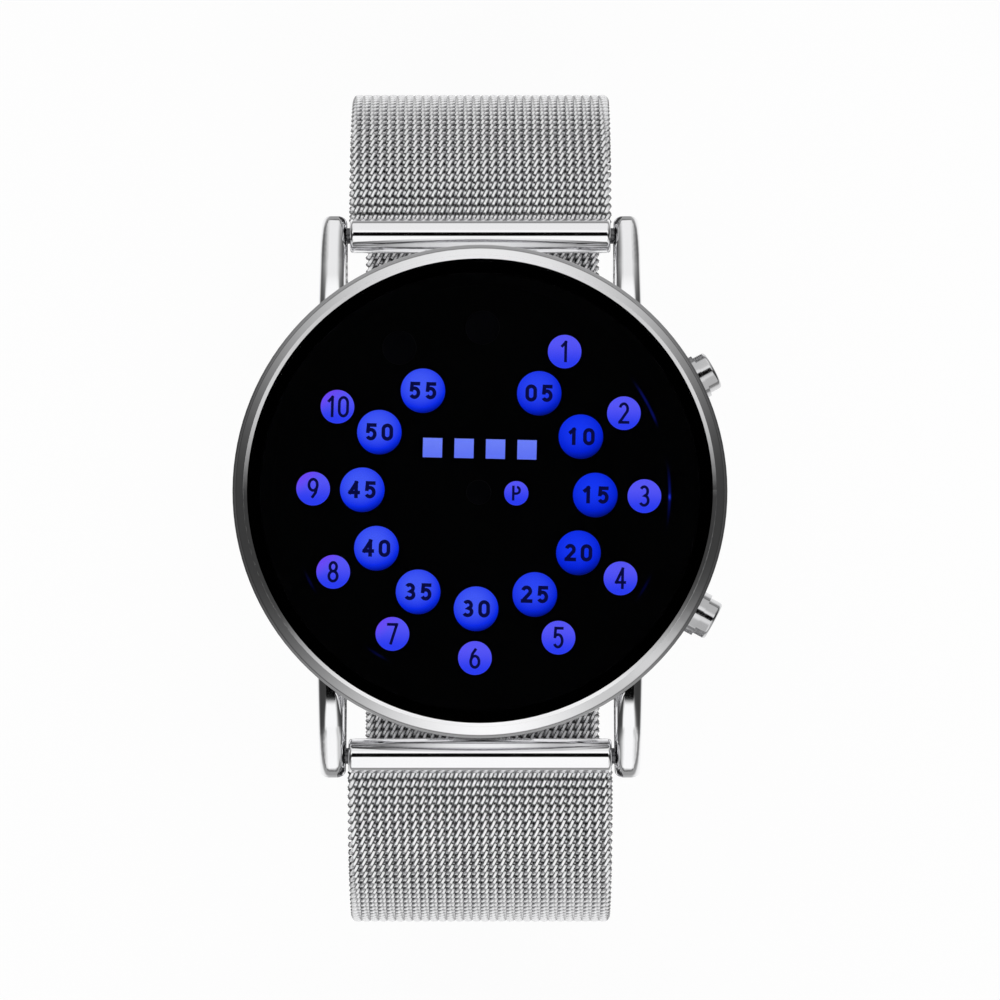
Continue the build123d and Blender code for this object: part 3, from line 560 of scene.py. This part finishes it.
def squareGlow():
    material, tree, shader = litPlastic("squareGlow")
    along = dialCoordinates(tree)[1]
    low = dialPlan["squareReach"] - dialPlan["squareHalf"]
    high = dialPlan["squareReach"] + dialPlan["squareHalf"]
    mottle = noise(tree, objectPlace(tree), glowLooks["squareGrain"], 1.0)
    mottle = smooth(tree, mottle, *glowLooks["squareMottle"])
    height = mathNode(tree, "MULTIPLY", smooth(tree, along, low, high), mottle)
    colour = mixColour(tree, height, dialColours["squareLow"], dialColours["square"])
    join(tree, colour, shader.inputs["Emission Color"])
    return material


def halfDayGlow():
    material, tree, shader = litPlastic("halfDayGlow")
    across, along = dialCoordinates(tree)
    height = smooth(tree, along, *glowLooks["halfDayRise"])
    colour = mixColour(tree, height, dialColours["hourLow"], dialColours["hourHigh"])
    lit = smooth(tree, across, *glowLooks["halfDayLit"])
    join(tree, mixColour(tree, lit, dialColours["unlit"], colour), shader.inputs["Emission Color"])
    return material


maskLook = {
    "dark": (0.0006, 0.0006, 0.0009, 1),
    "light": (0.001, 0.001, 0.0014, 1),
    "rough": (0.55, 0.65),
    "gloss": 0.02,
    "leakRadius": 15.45,     # blue light leaks out along this ring
    "leakWidth": 0.16,
    "leaks": [     # azimuth, strength, focus
        (29.5, 0.10, 500.0),
        (24.0, 0.10, 1500.0),
        (-0.5, 0.11, 260.0),
        (-1.4, 0.55, 12000.0),
        (-30.0, 0.03, 900.0),
        (208.0, 0.03, 1200.0),
        (238.0, 0.035, 1200.0),
    ],
    "leakColour": srgb(40, 60, 255),
}


def blackMask():
    material, tree, shader = newMaterial("dialMask")
    fleck = noise(tree, objectPlace(tree), 2200, 2.0)
    join(tree, mixColour(tree, fleck, maskLook["dark"], maskLook["light"]), shader.inputs["Base Color"])
    join(tree, smooth(tree, fleck, *grainRange, *maskLook["rough"]), shader.inputs["Roughness"])
    shader.inputs["Specular IOR Level"].default_value = maskLook["gloss"]
    across, along = dialCoordinates(tree)
    squares = [mathNode(tree, "POWER", value, 2.0) for value in (across, along)]
    radius = mathNode(tree, "SQRT", mathNode(tree, "ADD", *squares))
    off = mathNode(tree, "ABSOLUTE", mathNode(tree, "SUBTRACT", radius, maskLook["leakRadius"]))
    onRing = smooth(tree, off, maskLook["leakWidth"], 0.0)
    total = 0.0
    for azimuth, strength, focus in maskLook["leaks"]:
        angle = math.radians(azimuth)
        towardX = mathNode(tree, "MULTIPLY", across, math.cos(angle))
        towardY = mathNode(tree, "MULTIPLY", along, math.sin(angle))
        toward = mathNode(tree, "DIVIDE", mathNode(tree, "ADD", towardX, towardY), radius)
        lobe = mathNode(tree, "POWER", mathNode(tree, "MAXIMUM", toward, 0.0), focus)
        total = mathNode(tree, "ADD", mathNode(tree, "MULTIPLY", lobe, strength), total)
    glow = mathNode(tree, "MULTIPLY", total, onRing)
    join(tree, mixColour(tree, glow, (0, 0, 0, 1), maskLook["leakColour"]), shader.inputs["Emission Color"])
    shader.inputs["Emission Strength"].default_value = 1.0
    return material


barSteel = steel("barSteel", {
    "dark": (0.10, 0.10, 0.105, 1), "light": (0.16, 0.16, 0.165, 1), "rough": (0.25, 0.4),
    "grain": (1, 1, 1), "grainScale": 2500, "cloudScale": 300, "bump": 0.05,
})
barTips = {f"spring_bar_tip_{hour}_{side}": barSteel for hour in ("12", "6") for side in ("right", "left")}
pusherSteel = steel("pusherSteel", {
    "dark": (0.58, 0.58, 0.59, 1), "light": (0.76, 0.76, 0.77, 1), "rough": (0.09, 0.15),
    "grain": (1, 1, 1), "grainScale": 2500, "cloudScale": 500, "bump": 0.05,
})
pushers = {f"pusher_{piece}": pusherSteel for piece in ("upper", "lower", "tube_upper", "tube_lower")}
ownFinish = {
    **barTips,
    **pushers,
    "case_body": caseSteel(),
    "bezel": bezelSteel(),
    "hour_windows": hourGlow(),
    "minute_windows": minuteGlow(),
    "minute_squares": squareGlow(),
    "half_day_windows": halfDayGlow(),
    "dial_mask": blackMask(),
}

sharedFinish = {"mesh_steel": "brushed_steel", "black_gloss": "black_plastic", "blue_diffuser": "lamp_resin"}
slotOf = {part["node"]: part["material_slot"] for part in frame["record"]["subparts"]}
for name, node in nodes.items():
    finish = ownFinish.get(name) or finishes[sharedFinish.get(slotOf[name], slotOf[name])]
    node.data.materials.clear()
    node.data.materials.append(finish)
print("dial and case finished")


# Numerals, drawn as strokes of one width

def arcPoints(centreX, centreY, radiusX, radiusY, start, end):
    steps = max(6, int(abs(end - start) / 9))
    angles = [math.radians(start + (end - start) * index / steps) for index in range(steps + 1)]
    return [(centreX + radiusX * math.cos(angle), centreY + radiusY * math.sin(angle)) for angle in angles]


digitStrokes = {
    "0": [arcPoints(0.5, 0.7, 0.5, 0.3, 0, 180) + arcPoints(0.5, 0.3, 0.5, 0.3, 180, 360) + [(1, 0.7)]],
    "1": [[(0.62, 0), (0.62, 1)], [(0.62, 1), (0.22, 0.8)]],
    "2": [arcPoints(0.48, 0.72, 0.46, 0.28, 165, -28) + [(0, 0)], [(0, 0), (1, 0)]],
    "3": [arcPoints(0.46, 0.755, 0.42, 0.245, 150, -90) + arcPoints(0.46, 0.265, 0.5, 0.265, 80, -150)],
    "4": [[(0.74, 0), (0.74, 1)], [(0.74, 1), (0, 0.28)], [(0, 0.28), (1, 0.28)]],
    "5": [[(0.92, 1), (0.14, 1)], [(0.14, 1), (0.08, 0.54)],
          [(0.08, 0.54)] + arcPoints(0.45, 0.33, 0.5, 0.33, 128, -148)],
    "6": [arcPoints(0.5, 0.3, 0.5, 0.3, 0, 360), [(0.01, 0.34), (0.2, 0.72), (0.62, 1)]],
    "7": [[(0, 1), (1, 1)], [(1, 1), (0.34, 0)]],
    "8": [arcPoints(0.5, 0.765, 0.4, 0.235, 0, 360), arcPoints(0.5, 0.265, 0.5, 0.265, 0, 360)],
    "9": [arcPoints(0.5, 0.7, 0.5, 0.3, 0, 360), [(0.99, 0.66), (0.8, 0.28), (0.38, 0)]],
    "P": [[(0.08, 0), (0.08, 1)],
          [(0.08, 1), (0.5, 1)] + arcPoints(0.5, 0.73, 0.46, 0.27, 90, -90) + [(0.08, 0.46)]],
    "A": [[(0, 0), (0.5, 1)], [(0.5, 1), (1, 0)], [(0.2, 0.33), (0.8, 0.33)]],
}

numeralLooks = {
    "hour": {"height": 1.74, "width": 0.9, "stroke": 0.225, "pitch": 0.98},
    "minute": {"height": 1.4, "width": 0.94, "stroke": 0.295, "pitch": 1.3},
    "halfDay": {"height": 1.2, "width": 0.78, "stroke": 0.2, "pitch": 1.0},
}
inkLift = 0.012     # mm above the mask
inkDepth = 0.02


def strokeBand(points, width):
    # flat ribbon along the points, mitred at its corners
    path = np.array(points, float)
    ahead = np.diff(path, axis=0)
    ahead /= np.linalg.norm(ahead, axis=1)[:, None]
    closed = np.allclose(path[0], path[-1])
    before = np.vstack([ahead[-1:] if closed else ahead[:1], ahead])
    after = np.vstack([ahead, ahead[:1] if closed else ahead[-1:]])
    mean = before + after
    mean /= np.linalg.norm(mean, axis=1)[:, None]
    side = np.stack([-mean[:, 1], mean[:, 0]], axis=1)
    spread = (width / 2) / np.clip((mean * after).sum(axis=1), 0.6, 1)[:, None]
    return path + side * spread, path - side * spread


def turnedPoint(x, y):
    turn = math.radians(dialPlan["turn"])
    return x * math.cos(turn) - y * math.sin(turn), x * math.sin(turn) + y * math.cos(turn)


def overlapEnds(points, width):
    (x0, y0), (x1, y1) = points
    grow = width / 2 / math.hypot(x1 - x0, y1 - y0)
    growX, growY = (x1 - x0) * grow, (y1 - y0) * grow
    return [(x0 - growX, y0 - growY), (x1 + growX, y1 + growY)]


def addStroke(points, width, centre, vertices, faces):
    # a thin plate along the points, upper face first
    left, right = strokeBand(points, width)
    first, count = len(vertices), len(points)
    for top in (1, 0):
        level = dialPlan["maskTop"] + inkLift + top * inkDepth
        for x, y in list(left) + list(right):
            x, y = turnedPoint(x, y)
            vertices.append(((centre[0] + x) * mm, (centre[1] + y) * mm, level * mm))
    low = 2 * count
    for a in range(first, first + count - 1):
        b, c, d = a + 1, a + 1 + count, a + count
        faces.append((a, d, c, b))
        faces.append((a + low, b + low, c + low, d + low))
        faces.append((a, b, b + low, a + low))
        faces.append((d, d + low, c + low, c))
    a, d = first, first + count
    faces.append((a, a + low, d + low, d))
    a, d = first + count - 1, first + 2 * count - 1
    faces.append((a, d, d + low, a + low))


def addNumeral(text, centre, look, vertices, faces):
    width = look["width"] - look["stroke"]
    height = look["height"] - look["stroke"]
    for index, sign in enumerate(text):
        middle = (index - (len(text) - 1) / 2) * look["pitch"]
        for stroke in digitStrokes[sign]:
            points = [(middle + (x - 0.5) * width, (y - 0.5) * height) for x, y in stroke]
            if len(points) == 2:     # straight strokes overlap where they meet
                points = overlapEnds(points, look["stroke"])
            addStroke(points, look["stroke"], centre, vertices, faces)


def dialPoint(x, y):
    x, y = turnedPoint(x, y)
    return dialPlan["offset"][0] + x, dialPlan["offset"][1] + y


def ringPoint(number, radius):
    angle = math.radians(90 - dialPlan["discStep"] * number)
    return dialPoint(radius * math.cos(angle), radius * math.sin(angle))


def inkMaterial(name, ink, glowColour):
    material, tree, shader = newMaterial(name)
    fleck = noise(tree, objectPlace(tree), 3000, 2.0)
    join(tree, mixColour(tree, fleck, ink, inkFleck), shader.inputs["Base Color"])
    join(tree, smooth(tree, fleck, *grainRange, *maskLook["rough"]), shader.inputs["Roughness"])
    shader.inputs["Specular IOR Level"].default_value = maskLook["gloss"]
    shader.inputs["Emission Color"].default_value = glowColour
    shader.inputs["Emission Strength"].default_value = 1.0
    return material


def addPiece(name, vertices, faces, material, body, slot):
    mesh = bpy.data.meshes.new(name)
    mesh.from_pydata(vertices, [], faces)
    mesh.materials.append(material)
    piece = bpy.data.objects.new(name, mesh)
    bpy.context.scene.collection.objects.link(piece)
    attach(piece, body)


inkFleck = (0.0012, 0.0012, 0.002, 1)
litInk = inkMaterial("litInk", (0.001, 0.001, 0.004, 1), srgb(8, 10, 66))
darkInk = inkMaterial("darkInk", maskLook["dark"], dialColours["unlit"])
lit, dark = ([], []), ([], [])
for hour in range(1, 13):
    shown = lit if hour in dialPlan["hoursLit"] else dark
    addNumeral(str(hour), ringPoint(hour, dialPlan["hourRing"]), numeralLooks["hour"], *shown)
for five in range(1, 12):
    centre = ringPoint(five, dialPlan["minuteRing"])
    addNumeral(f"{five * 5:02d}", centre, numeralLooks["minute"], *lit)
addNumeral("P", dialPoint(dialPlan["halfDayPitch"], 0), numeralLooks["halfDay"], *lit)
addNumeral("A", dialPoint(0, 0), numeralLooks["halfDay"], *dark)
addPiece("litNumerals", *lit, litInk, "case", "black_gloss")
addPiece("unlitNumerals", *dark, darkInk, "case", "black_gloss")
print("numerals printed")


# Black border printed under the crystal's edge, in mm

crystalBorder = {"inner": 16.7, "outer": 17.8, "low": 52.35, "high": 52.38, "steps": 180}


def borderRing(look):
    vertices, faces = [], []
    steps = look["steps"]
    for radius, level in ((look["inner"], look["low"]), (look["outer"], look["low"]),
                          (look["outer"], look["high"]), (look["inner"], look["high"])):
        for step in range(steps):
            angle = 2 * math.pi * step / steps
            vertices.append((radius * math.cos(angle) * mm, radius * math.sin(angle) * mm, level * mm))
    for side in range(4):
        low, high = side * steps, (side + 1) % 4 * steps
        for step in range(steps):
            following = (step + 1) % steps
            faces.append((low + step, high + step, high + following, low + following))
    return vertices, faces


borderInk = inkMaterial("borderInk", maskLook["dark"], (0, 0, 0, 1))
addPiece("crystalBorder", *borderRing(crystalBorder), borderInk, "case", "black_gloss")
print("crystal border printed")


# Woven mesh band: rows of flattened wire coils, each row hooked into the next

bandRun = {     # the middle line of one half, in mm
    "startReach": 22.0625,
    "startLevel": 47.95,
    "lead": 0.6375,
    "shoulderRadius": 11.65,
    "sideLean": 0.85,
    "cornerRadius": 17.0,
    "floorLevel": 2.55,
    "flatReach": 16.5,
    "flexShare": 0.45,
    "flexZone": 3.0,     # each side of a flex line that bends
    "endReach12": 16.3,
    "endReach6": -11.7,
    "endMargin": 0.6,
    "before": 2.0,     # the line also reaches this far up into the end tube
    "step": 0.02,
}

meshWire = {     # lengths in mm
    "diameter": 0.40,
    "flatTurn": 28,     # degrees each side of a wire's crest that are pressed flat
    "columns": 30,
    "columnPitch": 0.71,
    "rowPitch": 0.70,
    "halfRow": 0.62,
    "halfDepth": 0.55,
    "straightness": 1.0,     # how far a stroke's slope keeps even
    "rowFlatness": 0.85,
    "depthFlatness": 0.46,
    "firstRow": 0.50,
    "endTrim": 0.06,     # share of a half turn cut off at the edges
    "shadeDepths": (0.30, 0.74),     # from the middle of the band; the deeper parts are in shade
    "shadeColour": (0.30, 0.30, 0.305, 1),
}

widestLevel = bandRun["startLevel"] - bandRun["shoulderRadius"]
sideRise = widestLevel - bandRun["floorLevel"] - bandRun["cornerRadius"]
sideTurn = 2 * math.atan2(bandRun["sideLean"], sideRise)
sideRadius = bandRun["cornerRadius"] + sideRise / math.sin(sideTurn)
bandRuns = [     # length and turn of each run from the end tube down to the clasp
    (bandRun["lead"], 0.0),
    (math.pi / 2 * bandRun["shoulderRadius"], math.pi / 2),
    (sideTurn * sideRadius, sideTurn),
    ((math.pi / 2 - sideTurn) * bandRun["cornerRadius"], math.pi / 2 - sideTurn),
    (2 * bandRun["flatReach"], 0.0),
]
runEnds = np.cumsum([0.0] + [run[0] for run in bandRuns])
headings = np.cumsum([0.0] + [-run[1] for run in bandRuns])
travelSteps = np.arange(-bandRun["before"], runEnds[-1], bandRun["step"])
headingSteps = np.interp(travelSteps, runEnds, headings)
middleHeadings = (headingSteps[1:] + headingSteps[:-1]) / 2
reachSteps = np.concatenate([[0], np.cumsum(np.cos(middleHeadings) * bandRun["step"])])
levelSteps = np.concatenate([[0], np.cumsum(np.sin(middleHeadings) * bandRun["step"])])
startIndex = np.searchsorted(travelSteps, 0.0)
reachSteps += bandRun["startReach"] - reachSteps[startIndex]
levelSteps += bandRun["startLevel"] - levelSteps[startIndex]
flexTravels = [runEnds[2], runEnds[3] + bandRun["flexShare"] * bandRuns[3][0]]
flatTravel = runEnds[4]
acrossBand = np.array([1.0, 0.0, 0.0])


def meshSteel():
    material = steel("meshWire", {
        "dark": (0.80, 0.80, 0.81, 1), "light": (0.91, 0.91, 0.92, 1), "rough": (0.17, 0.25),
        "grain": (1, 1, 1), "grainScale": 2500, "cloudScale": 300, "bump": 0.04,
    })
    tree = material.node_tree
    shader = tree.nodes["Principled BSDF"]
    wireColour = shader.inputs["Base Color"].links[0].from_socket
    depth = addNode(tree, "ShaderNodeAttribute", attribute_name="weaveDepth").outputs["Fac"]
    lit = smooth(tree, depth, *meshWire["shadeDepths"])
    join(tree, mixColour(tree, lit, meshWire["shadeColour"], wireColour), shader.inputs["Base Color"])
    return material


def bandPlace(travel, lift):
    heading = np.interp(travel, travelSteps, headingSteps)
    reach = np.interp(travel, travelSteps, reachSteps) - lift * np.sin(heading)
    level = np.interp(travel, travelSteps, levelSteps) + lift * np.cos(heading)
    return reach, level


def wireSpines(firstRow, lastRow, end, pointsPerTurn):
    # each row is two wires wound into each other, so that both faces show the same slanted strokes
    halfTurns, trim = meshWire["columns"], meshWire["endTrim"]
    halfTurn = np.linspace(trim, halfTurns - trim, halfTurns * pointsPerTurn // 2 + 1)
    cosine, sine = np.cos(halfTurn * math.pi), np.sin(halfTurn * math.pi)
    along = -np.sign(cosine) * np.abs(cosine) ** meshWire["rowFlatness"]
    lift = meshWire["halfDepth"] * np.sign(sine) * np.abs(sine) ** meshWire["depthFlatness"]
    even = np.floor(halfTurn) + (1 - np.cos(halfTurn % 1 * math.pi)) / 2
    steps = halfTurn + meshWire["straightness"] * (even - halfTurn)
    rows = np.repeat(np.arange(firstRow, lastRow), 2)
    turned = np.tile([1.0, -1.0], lastRow - firstRow)[:, None]     # the second wire is half a turn ahead
    across = meshWire["columnPitch"] * (steps - halfTurns / 2)
    across = np.repeat(across[None, :], len(rows), axis=0)
    centres = meshWire["firstRow"] + rows * meshWire["rowPitch"]
    travel = centres[:, None] + end * meshWire["halfRow"] * turned * along[None, :]
    reach, level = bandPlace(travel, turned * lift[None, :])
    return np.stack([across, end * reach, level], axis=2), travel


def wireRings(spine):
    # six points round the wire, which is pressed flat where it faces out of the band
    ahead = np.gradient(spine, axis=1)
    ahead /= np.linalg.norm(ahead, axis=2)[..., None]
    side = np.cross(ahead, acrossBand)
    side /= np.linalg.norm(side, axis=2)[..., None]
    rise = np.cross(side, ahead)
    flat = meshWire["flatTurn"]
    angles = np.radians([-flat, flat, 90, 180 - flat, 180 + flat, 270])[:, None]
    ring = np.cos(angles) * side[:, :, None, :] + np.sin(angles) * rise[:, :, None, :]
    return spine[:, :, None, :] + meshWire["diameter"] / 2 * ring


def weaveDepths(rings, spine, travel, end):
    # distance of each point from the band's middle
    heading = np.interp(travel, travelSteps, headingSteps)
    ahead = np.stack([np.zeros_like(heading), end * np.cos(heading), np.sin(heading)], axis=-1)
    reach, level = bandPlace(travel, 0.0)
    middle = np.stack([spine[..., 0], end * reach, level], axis=-1)
    outward = np.cross(acrossBand, ahead)
    return np.abs(((rings - middle[:, :, None, :]) * outward[:, :, None, :]).sum(axis=3))


def tubeMesh(name, rings):
    # one capped tube for each wire, with sharp rims along its pressed faces
    wires, pointCount, sides = rings.shape[:3]
    index = np.arange(wires * pointCount * sides).reshape(wires, pointCount, sides)
    following = np.roll(index, -1, axis=2)
    quads = np.stack([index[:, :-1], following[:, :-1], following[:, 1:], index[:, 1:]], axis=-1)
    quads = quads.reshape(-1, 4)
    caps = np.concatenate([index[:, 0], index[:, -1, ::-1]])
    loops = np.concatenate([quads.ravel(), caps.ravel()])
    starts = np.concatenate([np.arange(len(quads)) * 4, quads.size + np.arange(len(caps)) * sides])
    totals = np.concatenate([np.full(len(quads), 4), np.full(len(caps), sides)])
    mesh = bpy.data.meshes.new(name)
    mesh.vertices.add(index.size)
    mesh.vertices.foreach_set("co", (rings * mm).astype(np.float32).ravel())
    mesh.loops.add(len(loops))
    mesh.loops.foreach_set("vertex_index", loops.astype(np.int32))
    mesh.polygons.add(len(totals))
    mesh.polygons.foreach_set("loop_start", starts.astype(np.int32))
    mesh.polygons.foreach_set("loop_total", totals.astype(np.int32))
    mesh.update(calc_edges=True)
    mesh.validate()
    mesh.polygons.foreach_set("use_smooth", np.ones(len(mesh.polygons), dtype=bool))
    ends = np.empty(len(mesh.edges) * 2, dtype=np.int32)
    mesh.edges.foreach_get("vertices", ends)
    ends = ends.reshape(-1, 2) % sides
    crease = (ends[:, 0] == ends[:, 1]) & (ends[:, 0] % 3 != 2)     # points 2 and 5 lie off the pressed faces
    mesh.attributes.new("sharp_edge", "BOOLEAN", "EDGE").data.foreach_set("value", crease)
    return mesh


def coilRows(name, firstRow, lastRow, end, material, pointsPerTurn=12):
    spine, travel = wireSpines(firstRow, lastRow, end, pointsPerTurn)
    rings = wireRings(spine)
    mesh = tubeMesh(name, rings)
    mesh.materials.append(material)
    depth = weaveDepths(rings, spine, travel, end).astype(np.float32)
    mesh.attributes.new("weaveDepth", "FLOAT", "POINT").data.foreach_set("value", depth.ravel())
    piece = bpy.data.objects.new(name, mesh)
    bpy.context.scene.collection.objects.link(piece)
    return piece


def rowAt(travel):
    return int(round((travel - meshWire["firstRow"]) / meshWire["rowPitch"]))


wire = meshSteel()
zone = bandRun["flexZone"]
for hourName, end, half in (("12", 1, "upper"), ("6", -1, "lower")):
    bandEnd = flatTravel + bandRun["flatReach"] - bandRun["endReach" + hourName]
    cuts = [0]
    for flexTravel in flexTravels:
        cuts += [rowAt(flexTravel - zone), rowAt(flexTravel + zone)]
    cuts.append(rowAt(bandEnd - bandRun["endMargin"]) + 1)
    cuts[4] = min(cuts[4], cuts[5])
    shoulder, sideBody, endBody = half + "_shoulder", half + "_side", half + "_end"
    upperMesh = coilRows("meshShoulder" + hourName, cuts[0], cuts[1], end, wire)
    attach(upperMesh, shoulder)
    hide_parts("band_shoulder_" + hourName)
    upperBend = coilRows("meshUpperBend" + hourName, cuts[1], cuts[2], end, wire)
    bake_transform(upperBend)
    sideMesh = coilRows("meshSide" + hourName, cuts[2], cuts[3], end, wire)
    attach(sideMesh, sideBody)
    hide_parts("band_side_" + hourName)
    lowerBend = coilRows("meshLowerBend" + hourName, cuts[3], cuts[4], end, wire)
    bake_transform(lowerBend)
    if cuts[4] < cuts[5]:
        lowerMesh = coilRows("meshLower" + hourName, cuts[4], cuts[5], end, wire, pointsPerTurn=8)
        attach(lowerMesh, endBody)
        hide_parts("band_lower_" + hourName)
    print("mesh half", hourName, "rows", cuts)

print("mesh woven")
